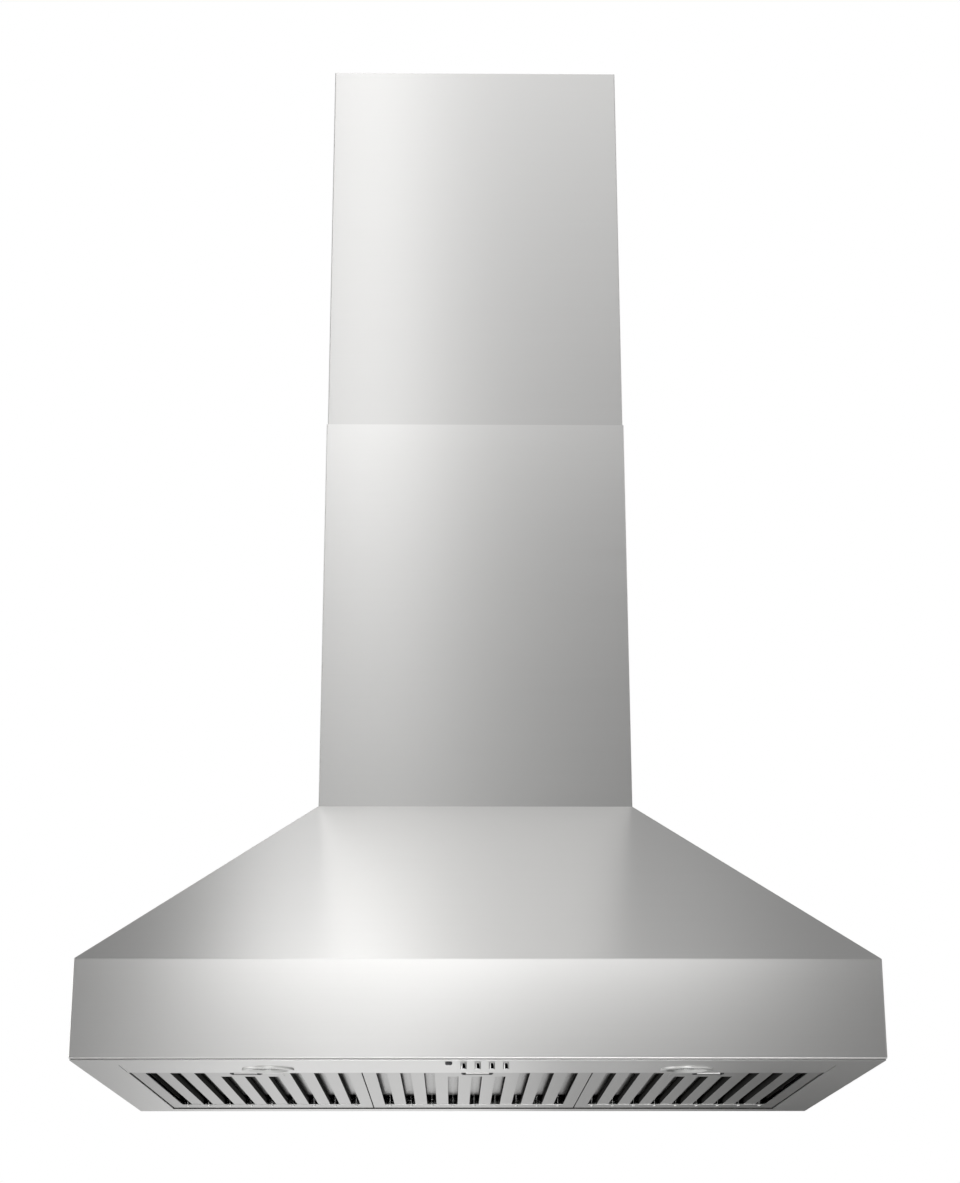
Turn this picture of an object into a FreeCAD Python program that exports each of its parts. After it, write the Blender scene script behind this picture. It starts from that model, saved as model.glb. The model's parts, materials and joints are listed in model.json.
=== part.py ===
import FreeCAD, Part
import math
import os

# A wall-mounted chimney range hood. Millimetres, +Z up.
# The wall is the plane y = 0, the hood reaches forward to negative y,
# x = 0 is its middle and z = 0 is the underside of the pan.

# Canopy
canopy_width = 914.4
canopy_depth = 609.6
skirt_height = 111.4
pyramid_height = 244.6
canopy_sheet = 1.2
edge_radius = 1.5
hem_width = 6.0
foot_width = 5.0
neck_height = 25.0
back_sheet = 1.2

# Underside pan
pan_sheet = 1.2
pan_setback = 1.6
reveal_height = 0.7
side_strip_width = 49.7
front_strip_depth = 127.0
slit_length = 78.0
slit_width = 0.8

# Rear ledge
ledge_depth = 32.0
ledge_sheet = 1.2
ledge_upstand = 30.0

# Chimney covers
chimney_width = 406.4
chimney_depth = 304.8
cover_sheet = 0.9
cover_radius = 1.4
cover_gap = 0.5
cover_flange = 20.0
lower_cover_height = 533.0
upper_cover_shown = 548.0
cover_overlap = 45.0

# Ceiling bracket
bracket_sheet = 1.5
bracket_height = 40.0
bracket_back_gap = 12.0
bracket_arm = 36.0
bracket_flange = 30.0
bracket_slot_length = 24.0
bracket_slot_width = 6.0
bracket_slot_spacing = 240.0

# Filters
filter_count = 3
filter_gap = 1.5
filter_side_gap = 1.75
filter_front_gap = 1.0
filter_seat_gap = 0.3
filter_tail = 8.0
filter_height = 15.0
filter_sheet = 0.8
filter_web_gap = 0.3
filter_top_flange = 10.0
filter_front_flange = 17.0
filter_rear_flange = 52.0
filter_edge_margin = 10.0
slot_width = 12.5
slot_pitch = 28.2
baffle_lip_height = 7.0
baffle_lap = 6.0
baffle_air_gap = 3.4
upper_baffle_leg = 6.5
tongue_length = 38.0
tongue_slots = 3
rivet_shank_radius = 1.5
rivet_head_radius = 2.4
rivet_head_height = 0.5

# Filter ring handle
ring_wire_radius = 0.8
ring_fit = 0.08
ring_clearance = 0.3
ring_saddle_width = 27.0
ring_side_gap = 0.5
ring_length = 15.0
ring_corner_radius = 4.0
saddle_wall = 0.8
saddle_edge_distance = 4.0

# Lamps
lamp_spacing = 482.0
lamp_from_front = 85.6
bezel_radius = 30.0
bezel_height = 2.2
bezel_opening_radius = 19.0
bezel_barrel_radius = 25.0
bezel_barrel_wall = 1.5
bezel_barrel_height = 14.0
lamp_hole_fit = 0.3
lens_thickness = 2.0
lens_recess = 1.0
lamp_body_height = 22.0
lamp_bowl_depth = 12.0
lamp_bowl_floor_radius = 8.0
lamp_fin_height = 10.0
lamp_fin_count = 5
lamp_fin_thickness = 2.0
lamp_clip_width = 8.0
lamp_clip_sheet = 0.6
lamp_clip_reach = 14.0

# Buttons and indicator
button_count = 4
button_pitch = 15.9
button_row_x = 7.1
button_from_front = 17.6
button_radius = 3.5
button_shown = 8.0
button_edge_radius = 0.5
button_fit = 0.1
button_collar_radius = 4.6
button_collar_height = 1.5
button_stem_radius = 1.6
button_rest_gap = 0.1
spring_wire_radius = 0.25
spring_radius = 2.7
spring_turns = 6
spring_room = 14.0
switch_wall = 1.4
indicator_x = -33.5
indicator_from_front = 17.6
indicator_radius = 4.0
indicator_shown = 3.5
indicator_stem_radius = 3.0
indicator_stem_height = 12.0
indicator_fit = 0.1

# Blower
plate_sheet = 1.2
plate_flange = 15.0
wheel_radius = 90.0
wheel_end_gap = 15.0
wheel_ring_width = 4.0
wheel_disc_sheet = 1.5
blade_count = 32
blade_depth = 13.0
blade_sheet = 1.0
blade_pitch_angle = 28.0
hub_radius = 14.0
hub_length = 34.0
shaft_radius = 4.0
shaft_fit = 0.05
scroll_sheet = 1.0
scroll_width_share = 0.54
scroll_start_radius = 100.0
scroll_growth = 13.0
scroll_outlet_rise = 43.0
tongue_offset = 20.0
scroll_flange = 14.0
inlet_radius = 70.0
inlet_ring_width = 9.0
inlet_ring_sheet = 1.2
inlet_ring_height = 8.0
motor_radius = 48.0
motor_overhang = 6.0
motor_edge_radius = 6.0
motor_inset = 24.0
motor_bearing_radius = 12.0
motor_bearing_length = 6.0
arm_count = 3
arm_width = 16.0
arm_sheet = 2.0
arm_band_wall = 2.0
arm_band_length = 14.0
arm_foot = 12.0

# Duct collar and backdraft damper
duct_diameter = 152.4
collar_sheet = 0.8
collar_height = 62.0
collar_flange = 14.0
damper_height = 30.0
damper_gap = 2.0
damper_sheet = 0.8
damper_pin_radius = 1.5
damper_pin_spacing = 9.0
damper_barrel_wall = 0.9
damper_fit = 0.08

# Junction box and electrical pieces
junction_length = 140.0
junction_wall_gap = 5.0
junction_height = 44.0
junction_sheet = 1.0
junction_from_screws = 3.0
junction_lid_lip = 8.0
gland_thread_radius = 10.0
gland_bore_radius = 5.0
gland_nut_radius = 13.0
gland_nut_height = 7.0
gland_dome_height = 10.0
gland_dome_radius = 9.0
terminal_length = 50.0
terminal_width = 18.0
terminal_height = 16.0
terminal_poles = 5
terminal_hole_radius = 2.2
terminal_hole_depth = 8.0
capacitor_radius = 14.0
capacitor_length = 52.0
capacitor_edge_radius = 2.0
driver_length = 90.0
driver_width = 34.0
driver_height = 24.0
driver_edge_radius = 2.0
driver_from_rear = 22.0

# Screws and wall holes
screw_radius = 2.0
screw_head_radius = 3.8
screw_head_height = 1.8
screw_length = 8.0
screw_edge_radius = 0.6
keyhole_spacing = 300.0
keyhole_radius = 6.0
keyhole_slot_radius = 3.0
keyhole_rise = 14.0
keyhole_from_top = 100.0
wall_hole_radius = 3.0
wall_hole_spacing = 640.0
wall_hole_height = 62.0
overrun = 4.0

# Heights
skirt_bottom = pan_sheet + reveal_height
skirt_top = skirt_bottom + skirt_height
canopy_top = skirt_top + pyramid_height
neck_top = canopy_top + neck_height
lower_cover_top = canopy_top + lower_cover_height
upper_cover_bottom = lower_cover_top - cover_overlap
upper_cover_top = lower_cover_top + upper_cover_shown
filter_bottom = ledge_sheet + filter_seat_gap
filter_top = filter_bottom + filter_height

# Places that several pieces share
half_width = canopy_width / 2
front_y = -canopy_depth
strip_rear_y = front_y + front_strip_depth
bay_half = half_width - side_strip_width
filter_front_y = strip_rear_y + filter_front_gap
filter_hinge_y = -ledge_depth
filter_rear_y = filter_hinge_y + filter_tail
filter_width = (2 * bay_half - 2 * filter_side_gap - (filter_count - 1) * filter_gap) / filter_count
neck_half = chimney_width / 2 - cover_sheet
neck_front_y = -chimney_depth + cover_sheet
collar_y = -chimney_depth / 2
scroll_width = chimney_width * scroll_width_share
wheel_length = scroll_width - 2 * wheel_end_gap
motor_length = scroll_width / 2 + motor_overhang - motor_inset
scroll_rear_radius = scroll_start_radius + 3 * scroll_growth
blower_y = collar_y - (scroll_rear_radius - tongue_offset) / 2
blower_z = canopy_top - scroll_outlet_rise - scroll_start_radius
plate_top = canopy_top + plate_sheet
lamp_y = front_y + lamp_from_front
button_y = front_y + button_from_front
duct_radius = duct_diameter / 2

x_axis = FreeCAD.Vector(1, 0, 0)
y_axis = FreeCAD.Vector(0, 1, 0)
z_axis = FreeCAD.Vector(0, 0, 1)


def at(x, y, z):
    return FreeCAD.Vector(x, y, z)


def block(x_from, x_to, y_from, y_to, z_from, z_to):
    corner = at(x_from, y_from, z_from)
    return Part.makeBox(x_to - x_from, y_to - y_from, z_to - z_from, corner)


def rod(radius, length, start, direction):
    return Part.makeCylinder(radius, length, start, direction)


def tube(outer_radius, inner_radius, length, start, direction):
    reach = direction * overrun
    bore = rod(inner_radius, length + 2 * overrun, start - reach, direction)
    return rod(outer_radius, length, start, direction).cut(bore)


def fuse_all(shapes):
    joined = shapes[0]
    if len(shapes) > 1:
        joined = shapes[0].multiFuse(shapes[1:])
    return joined.removeSplitter()


def export(name, shapes):
    whole = shapes[0] if len(shapes) == 1 else Part.makeCompound(shapes)
    whole.exportStep("parts/" + name + ".step")


def pan_head_screw(start, direction, length):
    """A screw whose head's underside is at start and whose shank runs along direction."""
    head = rod(screw_head_radius, screw_head_height, start - direction * screw_head_height, direction)
    head = head.makeFillet(screw_edge_radius, [head.Edges[2]])
    return head.fuse(rod(screw_radius, length, start, direction)).removeSplitter()


# Canopy

def frustum(low, high, back):
    """A block with sloping sides. low and high are (half width, front y, z); its back is upright."""
    rings = []
    for half, front, z in (low, high):
        rings.append([at(-half, front, z), at(half, front, z), at(half, back, z), at(-half, back, z)])
    lower, upper = rings
    loops = [lower, upper]
    for i in range(4):
        after = (i + 1) % 4
        loops.append([lower[i], lower[after], upper[after], upper[i]])
    faces = [Part.Face(Part.makePolygon(loop + [loop[0]])) for loop in loops]
    return Part.makeSolid(Part.makeShell(faces))


def slope_inset(run):
    """How far a sloping sheet's inner face stands in, level, from its outer face."""
    return canopy_sheet * math.hypot(pyramid_height, run) / pyramid_height


side_run = half_width - chimney_width / 2
front_run = canopy_depth - chimney_depth


def canopy_outer():
    skirt = block(-half_width, half_width, front_y, 0, skirt_bottom, skirt_top)
    low = (half_width, front_y, skirt_top)
    high = (chimney_width / 2, -chimney_depth, canopy_top)
    body = skirt.fuse(frustum(low, high, 0)).removeSplitter()
    rounded = []
    for edge in body.Edges:
        at_wall = edge.BoundBox.YMin > -edge_radius
        at_neck = edge.BoundBox.ZMin > canopy_top - edge_radius
        if not (at_wall or at_neck):
            rounded.append(edge)
    return body.makeFillet(edge_radius, rounded)


def canopy_space(back):
    """The room inside the canopy sheet, up to the neck."""
    top_half = chimney_width / 2 - slope_inset(side_run)
    top_front = -chimney_depth + slope_inset(front_run)
    floor = skirt_bottom + canopy_sheet
    drop_share = (canopy_top - floor) / pyramid_height
    low = (top_half + side_run * drop_share, top_front - front_run * drop_share, floor)
    high = (top_half, top_front, canopy_top)
    inner_half = half_width - canopy_sheet
    room = block(-inner_half, inner_half, front_y + canopy_sheet, back, floor, canopy_top)
    return room.common(frustum(low, high, back))


def neck_space(back, z_from):
    inner = neck_half - canopy_sheet
    return block(-inner, inner, neck_front_y + canopy_sheet, back, z_from, neck_top)


def neck_walls():
    """The upright collar of sheet that the lower cover fits over, open at the wall."""
    neck = block(-neck_half, neck_half, neck_front_y, 0, canopy_top - canopy_sheet, neck_top)
    return neck.cut(neck_space(overrun, canopy_top - overrun))


def canopy_shell():
    shell = canopy_outer().cut(canopy_space(overrun)).fuse(neck_walls())
    shell = shell.cut(neck_space(overrun, canopy_top - canopy_sheet))
    inset = hem_width + foot_width
    foot = block(-half_width + hem_width, half_width - hem_width, front_y + hem_width, 0,
                 pan_sheet, skirt_bottom + canopy_sheet)
    opening = block(-half_width + inset, half_width - inset, front_y + inset, overrun,
                    -overrun, skirt_bottom + canopy_sheet)
    shell = shell.fuse(foot).cut(opening).removeSplitter()
    return shell.cut(Part.makeCompound(neck_screw_holes()))


def keyhole(x):
    low = rod(keyhole_radius, back_sheet + 2 * overrun, at(x, -back_sheet - overrun, keyhole_z), y_axis)
    slot = block(x - keyhole_slot_radius, x + keyhole_slot_radius, -back_sheet - overrun, overrun,
                 keyhole_z, keyhole_z + keyhole_rise)
    top = at(x, -back_sheet - overrun, keyhole_z + keyhole_rise)
    return low.fuse(slot).fuse(rod(keyhole_slot_radius, back_sheet + 2 * overrun, top, y_axis))


keyhole_z = canopy_top - keyhole_from_top


def canopy_back_panel():
    inner_half = half_width - canopy_sheet
    slab = block(-inner_half, inner_half, -back_sheet, 0, skirt_bottom + canopy_sheet, neck_top)
    space = canopy_space(overrun).fuse(neck_space(overrun, canopy_top - canopy_sheet))
    bay = block(-bay_half, bay_half, -back_sheet, 0, ledge_sheet, skirt_bottom + 2 * canopy_sheet)
    panel = slab.common(space).cut(neck_walls()).fuse(bay).removeSplitter()
    for side in (-1, 1):
        panel = panel.cut(keyhole(side * keyhole_spacing / 2))
        start = at(side * wall_hole_spacing / 2, -back_sheet - overrun, wall_hole_height)
        panel = panel.cut(rod(wall_hole_radius, back_sheet + 2 * overrun, start, y_axis))
    return panel


# Underside pan and rear ledge

def pan_holes():
    holes = []
    depth = pan_sheet + 2 * overrun
    for side in (-1, 1):
        start = at(side * lamp_spacing / 2, lamp_y, -overrun)
        holes.append(rod(bezel_barrel_radius + lamp_hole_fit, depth, start, z_axis))
        slit_x = side * bay_half
        holes.append(block(slit_x - slit_width / 2, slit_x + slit_width / 2,
                           strip_rear_y - slit_length, strip_rear_y, -overrun, pan_sheet + overrun))
    for x in button_places():
        holes.append(rod(button_radius + button_fit, depth, at(x, button_y, -overrun), z_axis))
    start = at(indicator_x, front_y + indicator_from_front, -overrun)
    holes.append(rod(indicator_stem_radius + indicator_fit, depth, start, z_axis))
    return holes


def underside_pan():
    edge = half_width - pan_setback
    pan = block(-edge, edge, front_y + pan_setback, 0, 0, pan_sheet)
    pan = pan.cut(block(-bay_half, bay_half, strip_rear_y, overrun, -overrun, pan_sheet + overrun))
    lip_half = bay_half - slit_width
    lip = block(-lip_half, lip_half, strip_rear_y - pan_sheet, strip_rear_y, 0, filter_top)
    return pan.fuse(lip).cut(Part.makeCompound(pan_holes())).removeSplitter()


def rear_ledge():
    flange = block(-bay_half, bay_half, -ledge_depth, 0, 0, ledge_sheet)
    upstand = block(-bay_half, bay_half, -back_sheet - ledge_sheet, -back_sheet,
                    ledge_sheet, ledge_upstand)
    return flange.fuse(upstand).removeSplitter()


# Chimney covers

def duct_cover(half, front, back, z_from, z_to, notch_top):
    outer = block(-half, half, front, back, z_from, z_to)
    corners = [edge for edge in outer.Edges
               if edge.BoundBox.ZLength > (z_to - z_from) / 2 and edge.CenterOfMass.y < front + cover_sheet]
    outer = outer.makeFillet(cover_radius, corners)
    inside = half - cover_sheet
    room = block(-inside, inside, front + cover_sheet, back - cover_sheet, z_from - overrun, z_to + overrun)
    gap = half - cover_flange
    mouth = block(-gap, gap, front + cover_sheet, back + overrun, z_from - overrun, z_to + overrun)
    notch = block(-inside, inside, front + cover_sheet, back + overrun, z_from - overrun, notch_top)
    return outer.cut(room).cut(mouth).cut(notch)


def side_screw_places(y_shares, z):
    return [(-chimney_depth * share, z) for share in y_shares]


neck_screw_y_shares = (0.25, 0.75)
bracket_screw_z = upper_cover_top - bracket_height / 2


def lower_duct_cover():
    cover = duct_cover(chimney_width / 2, -chimney_depth, 0, canopy_top, lower_cover_top,
                       neck_top + cover_gap)
    return cover.cut(Part.makeCompound(neck_screw_holes()))


def neck_screw_holes():
    reach = chimney_width + 2 * overrun
    z = canopy_top + neck_height / 2
    return [rod(screw_radius, reach, at(-reach / 2, y, z), x_axis)
            for y, z in side_screw_places(neck_screw_y_shares, z)]


def cover_screws():
    z = canopy_top + neck_height / 2
    screws = []
    for y, z in side_screw_places(neck_screw_y_shares, z):
        for side in (-1, 1):
            start = at(side * chimney_width / 2, y, z)
            screws.append(pan_head_screw(start, x_axis * -side, screw_length))
    return screws


step = cover_sheet + cover_gap
upper_half = chimney_width / 2 - step
upper_front = -chimney_depth + step
upper_back = -step
bracket_arm_y = upper_back - cover_sheet - bracket_arm
bracket_screw_y = bracket_arm_y - bracket_flange / 2


def bracket_screw_holes():
    reach = chimney_width + 2 * overrun
    return rod(screw_radius, reach, at(-reach / 2, bracket_screw_y, bracket_screw_z), x_axis)


def upper_duct_cover():
    cover = duct_cover(upper_half, upper_front, upper_back, upper_cover_bottom, upper_cover_top,
                       upper_cover_bottom)
    return cover.cut(bracket_screw_holes())


def ceiling_bracket():
    low = upper_cover_top - bracket_height
    high = upper_cover_top
    inner = upper_half - cover_sheet
    back_half = upper_half - cover_flange - bracket_back_gap
    pieces = [block(-back_half, back_half, -bracket_sheet, 0, low, high)]
    for side in (-1, 1):
        ends = sorted((side * (back_half - bracket_sheet), side * back_half))
        pieces.append(block(ends[0], ends[1], bracket_arm_y, 0, low, high))
        ends = sorted((side * (back_half - bracket_sheet), side * inner))
        pieces.append(block(ends[0], ends[1], bracket_arm_y, bracket_arm_y + bracket_sheet, low, high))
        ends = sorted((side * (inner - bracket_sheet), side * inner))
        pieces.append(block(ends[0], ends[1], bracket_arm_y - bracket_flange, bracket_arm_y, low, high))
    bracket = fuse_all(pieces).cut(bracket_screw_holes())
    for side in (-1, 1):
        bracket = bracket.cut(bracket_slot(side * bracket_slot_spacing / 2))
    return bracket


def bracket_slot(x):
    half_length = (bracket_slot_length - bracket_slot_width) / 2
    radius = bracket_slot_width / 2
    y_from = -bracket_sheet - overrun
    depth = bracket_sheet + 2 * overrun
    slot = block(x - half_length, x + half_length, y_from, overrun,
                 bracket_screw_z - radius, bracket_screw_z + radius)
    for end in (-half_length, half_length):
        slot = slot.fuse(rod(radius, depth, at(x + end, y_from, bracket_screw_z), y_axis))
    return slot


def bracket_screws():
    return [pan_head_screw(at(side * upper_half, bracket_screw_y, bracket_screw_z), x_axis * -side,
                           screw_length) for side in (-1, 1)]


# Filters

def filter_places():
    step_x = filter_width + filter_gap
    first = -step_x * (filter_count - 1) / 2
    return [first + i * step_x for i in range(filter_count)]


slots_each_side = int((filter_width / 2 - filter_edge_margin - slot_width / 2) / slot_pitch)
slot_places = [i * slot_pitch for i in range(-slots_each_side, slots_each_side + 1)]
slot_front_y = filter_front_y + filter_front_flange
slot_rear_y = filter_rear_y - filter_rear_flange
slot_edge = slot_places[-1] + slot_width / 2
tongue_half = tongue_slots * slot_pitch / 2
hinge_wire_y = filter_front_y + saddle_edge_distance
hinge_wire_z = filter_bottom - ring_clearance - ring_wire_radius


def filter_frame(x):
    half = filter_width / 2
    body = block(x - half, x + half, filter_front_y, filter_rear_y, filter_bottom, filter_top)
    inside = half - filter_sheet
    room = block(x - inside, x + inside, filter_front_y + filter_sheet, filter_rear_y - filter_sheet,
                 filter_bottom + filter_sheet, filter_top - filter_sheet)
    top_half = half - filter_top_flange
    top = block(x - top_half, x + top_half, filter_front_y + filter_top_flange,
                filter_rear_y - filter_top_flange, filter_top - 2 * filter_sheet, filter_top + overrun)
    bottom = block(x - slot_edge, x + slot_edge, slot_front_y, slot_rear_y,
                   filter_bottom - overrun, filter_bottom + 2 * filter_sheet)
    tongue = block(x - tongue_half, x + tongue_half, slot_front_y, slot_front_y + tongue_length,
                   filter_bottom - 2 * overrun, filter_bottom + 3 * filter_sheet)
    frame = body.cut(room).cut(top).cut(bottom.cut(tongue))
    for place in slot_places:
        start = at(x + place, rivet_y, filter_bottom - overrun)
        frame = frame.cut(rod(rivet_shank_radius, filter_sheet + 2 * overrun, start, z_axis))
    return frame.fuse(ring_saddle(x)).removeSplitter()


rivet_y = slot_rear_y + baffle_lap


def ring_saddle(x):
    """The stamped bridge that holds the ring handle's straight side."""
    outer = ring_wire_radius + ring_fit + saddle_wall
    half = ring_saddle_width / 2
    start = at(x - half, hinge_wire_y, hinge_wire_z)
    saddle = rod(outer, ring_saddle_width, start, x_axis)
    cheeks = block(x - half, x + half, hinge_wire_y - outer, hinge_wire_y + outer,
                   hinge_wire_z, filter_bottom)
    bore_start = at(x - half - overrun, hinge_wire_y, hinge_wire_z)
    bore = rod(ring_wire_radius + ring_fit, ring_saddle_width + 2 * overrun, bore_start, x_axis)
    return saddle.fuse(cheeks).cut(bore)


def channel(x, width, y_from, y_to, base, lip):
    """A folded strip: a flat base at height base, with both sides turned by lip, up or down."""
    half = width / 2
    top = base + filter_sheet
    ends = (top, base + lip) if lip > 0 else (top + lip, base)
    parts = [block(x - half, x + half, y_from, y_to, base, top)]
    for left in (x - half, x + half - filter_sheet):
        parts.append(block(left, left + filter_sheet, y_from, y_to, min(ends), max(ends)))
    return fuse_all(parts)


def lower_baffles(x):
    base = filter_bottom + filter_sheet
    width = slot_pitch - slot_width
    return [channel(x + place + slot_pitch / 2, width, slot_front_y - baffle_lap,
                    slot_rear_y + baffle_lap, base, baffle_lip_height)
            for place in slot_places[:-1]]


upper_baffle_base = filter_top - 2 * filter_sheet


def upper_baffles(x):
    width = slot_width + 2 * (filter_sheet + baffle_air_gap)
    return [channel(x + place, width, filter_front_y + filter_sheet + filter_web_gap,
                    filter_rear_y - filter_sheet - filter_web_gap, upper_baffle_base, -upper_baffle_leg)
            for place in slot_places]


def filter_rivets(x):
    rivets = []
    for place in slot_places:
        head_start = at(x + place, rivet_y, filter_bottom - rivet_head_height)
        head = rod(rivet_head_radius, rivet_head_height, head_start, z_axis)
        shank = rod(rivet_shank_radius, upper_baffle_base - filter_bottom,
                    at(x + place, rivet_y, filter_bottom), z_axis)
        rivets.append(head.fuse(shank).removeSplitter())
    return rivets


def bend(centre, start_angle):
    """A quarter of a torus in the level plane, which joins two straight sides of the ring."""
    piece = Part.makeTorus(ring_corner_radius, ring_wire_radius, at(0, 0, 0), z_axis, -180, 180, 90)
    piece.rotate(at(0, 0, 0), z_axis, start_angle)
    piece.translate(centre)
    return piece


def ring_handle(x):
    half = ring_saddle_width / 2 + ring_side_gap + ring_corner_radius
    straight_x = 2 * (half - ring_corner_radius)
    straight_y = ring_length - 2 * ring_corner_radius
    near = hinge_wire_y + ring_corner_radius
    far = hinge_wire_y + ring_length - ring_corner_radius
    left = x - half + ring_corner_radius
    right = x + half - ring_corner_radius
    pieces = [
        rod(ring_wire_radius, straight_x, at(left, hinge_wire_y, hinge_wire_z), x_axis),
        rod(ring_wire_radius, straight_x, at(left, hinge_wire_y + ring_length, hinge_wire_z), x_axis),
        rod(ring_wire_radius, straight_y, at(x - half, near, hinge_wire_z), y_axis),
        rod(ring_wire_radius, straight_y, at(x + half, near, hinge_wire_z), y_axis),
        bend(at(right, far, hinge_wire_z), 0),
        bend(at(left, far, hinge_wire_z), 90),
        bend(at(left, near, hinge_wire_z), 180),
        bend(at(right, near, hinge_wire_z), 270),
    ]
    return fuse_all(pieces)


# Lamps

def lamp_bezel(x):
    centre = at(x, lamp_y, -bezel_height)
    rim = rod(bezel_radius, bezel_height, centre, z_axis)
    rim = rim.makeFillet(bezel_height / 2, [edge for edge in rim.Edges
                                            if edge.BoundBox.ZMax < -bezel_height / 2 and edge.Closed
                                            and edge.Length > bezel_radius])
    barrel = rod(bezel_barrel_radius, bezel_barrel_height, at(x, lamp_y, 0), z_axis)
    body = rim.fuse(barrel)
    inner = bezel_barrel_radius - bezel_barrel_wall
    mouth = Part.makeCone(inner, bezel_opening_radius, bezel_height, centre, z_axis)
    bore = rod(inner, bezel_barrel_height + overrun, at(x, lamp_y, lens_recess), z_axis)
    throat = rod(bezel_opening_radius, lens_recess, at(x, lamp_y, 0), z_axis)
    return body.cut(mouth).cut(throat).cut(bore).removeSplitter()


def lamp_lens(x):
    radius = bezel_barrel_radius - bezel_barrel_wall - lamp_hole_fit
    return rod(radius, lens_thickness, at(x, lamp_y, lens_recess), z_axis)


def lamp_body(x):
    radius = bezel_barrel_radius - bezel_barrel_wall - lamp_hole_fit
    start = lens_recess + lens_thickness
    core = rod(radius, lamp_body_height, at(x, lamp_y, start), z_axis)
    bowl = Part.makeCone(bezel_opening_radius, lamp_bowl_floor_radius, lamp_bowl_depth,
                         at(x, lamp_y, start), z_axis)
    top = start + lamp_body_height
    fins = [core.cut(bowl)]
    spread = radius * 2 / lamp_fin_count
    for i in range(lamp_fin_count):
        middle = x + (i - (lamp_fin_count - 1) / 2) * spread
        fin = block(middle - lamp_fin_thickness / 2, middle + lamp_fin_thickness / 2,
                    lamp_y - radius, lamp_y + radius, top - lamp_fin_thickness, top + lamp_fin_height)
        fins.append(fin.common(rod(radius, lamp_fin_height + lamp_body_height, at(x, lamp_y, start), z_axis)))
    return fuse_all(fins)


def lamp_clips():
    """Two sprung strips on each lamp barrel, which press on the pan's upper face."""
    clips = []
    for side in (-1, 1):
        for way in (-1, 1):
            barrel = side * lamp_spacing / 2 + way * bezel_barrel_radius
            inner, outer = sorted((barrel, barrel + way * lamp_clip_sheet))
            y_from = lamp_y - lamp_clip_width / 2
            y_to = lamp_y + lamp_clip_width / 2
            upright = block(inner, outer, y_from, y_to, pan_sheet, bezel_barrel_height)
            ends = sorted((barrel, barrel + way * lamp_clip_reach))
            foot = block(ends[0], ends[1], y_from, y_to, pan_sheet, pan_sheet + lamp_clip_sheet)
            round_hole = rod(bezel_barrel_radius, bezel_barrel_height,
                             at(side * lamp_spacing / 2, lamp_y, 0), z_axis)
            clips.append(upright.fuse(foot).cut(round_hole).removeSplitter())
    return clips


# Buttons, their springs and housing, and the indicator

def button_places():
    first = button_row_x - button_pitch * (button_count - 1) / 2
    return [first + i * button_pitch for i in range(button_count)]


collar_bottom = pan_sheet + button_rest_gap
collar_top = collar_bottom + button_collar_height
switch_top = collar_top + spring_room + switch_wall
switch_bore_radius = button_collar_radius + button_fit


def push_button(x):
    cap = rod(button_radius, button_shown + collar_bottom, at(x, button_y, -button_shown), z_axis)
    low_edges = [edge for edge in cap.Edges if edge.BoundBox.ZMax < -button_shown / 2 and edge.Closed]
    cap = cap.makeFillet(button_edge_radius, low_edges)
    collar = rod(button_collar_radius, button_collar_height, at(x, button_y, collar_bottom), z_axis)
    stem = rod(button_stem_radius, spring_room + switch_wall, at(x, button_y, collar_top), z_axis)
    return cap.fuse(collar).fuse(stem).removeSplitter()


def coil_place(half_turns, climb):
    """A point of a spring's centre line and the way the wire runs there."""
    turn = half_turns * math.pi
    point = at(spring_radius * math.cos(turn), spring_radius * math.sin(turn), half_turns * climb)
    way = at(-spring_radius * math.sin(turn), spring_radius * math.cos(turn), climb / math.pi)
    return point, way.normalize()


def arc_to(start, corner, end):
    """The arc from start to end whose tangents meet at corner."""
    weight = start.distanceToPoint(end) / (2 * start.distanceToPoint(corner))
    middle = (start + corner * (2 * weight) + end) / (2 + 2 * weight)
    return Part.Arc(start, middle, end).toShape()


def half_turn(number, climb):
    """Two arcs that join smoothly, with equal tangents at their ends."""
    start, start_way = coil_place(number, climb)
    end, end_way = coil_place(number + 1, climb)
    gap = end - start
    ways = start_way + end_way
    lead = ways.dot(gap)
    spread = 4 - ways.dot(ways)
    tangent = (math.sqrt(lead ** 2 + spread * gap.dot(gap)) - lead) / spread
    start_corner = start + start_way * tangent
    end_corner = end - end_way * tangent
    middle = (start_corner + end_corner) / 2
    return [arc_to(start, start_corner, middle), arc_to(middle, end_corner, end)]


def button_spring(x):
    rise = spring_room - 2 * spring_wire_radius
    half_turns = 2 * spring_turns
    arcs = []
    for number in range(half_turns):
        arcs += half_turn(number, rise / half_turns)
    section = Part.Wire(Part.makeCircle(spring_wire_radius, at(spring_radius, 0, 0), y_axis))
    spring = Part.Wire(arcs).makePipeShell([section], True, False)
    spring.translate(at(x, button_y, collar_top + spring_wire_radius))
    return spring


def switch_housing():
    places = button_places()
    margin = switch_bore_radius + switch_wall
    body = block(places[0] - margin, places[-1] + margin, button_y - margin, button_y + margin,
                 pan_sheet, switch_top)
    for x in places:
        bore_height = switch_top - switch_wall - pan_sheet + overrun
        bore = rod(switch_bore_radius, bore_height, at(x, button_y, pan_sheet - overrun), z_axis)
        stem_hole = rod(button_stem_radius + button_fit, switch_top + overrun,
                        at(x, button_y, 0), z_axis)
        body = body.cut(bore).cut(stem_hole)
    return body


def indicator_light():
    y = front_y + indicator_from_front
    cap = rod(indicator_radius, indicator_shown, at(indicator_x, y, -indicator_shown), z_axis)
    low_edges = [edge for edge in cap.Edges if edge.BoundBox.ZMax < -indicator_shown / 2 and edge.Closed]
    cap = cap.makeFillet(indicator_radius / 2, low_edges)
    stem = rod(indicator_stem_radius, indicator_stem_height, at(indicator_x, y, 0), z_axis)
    return cap.fuse(stem).removeSplitter()


# Blower

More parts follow.
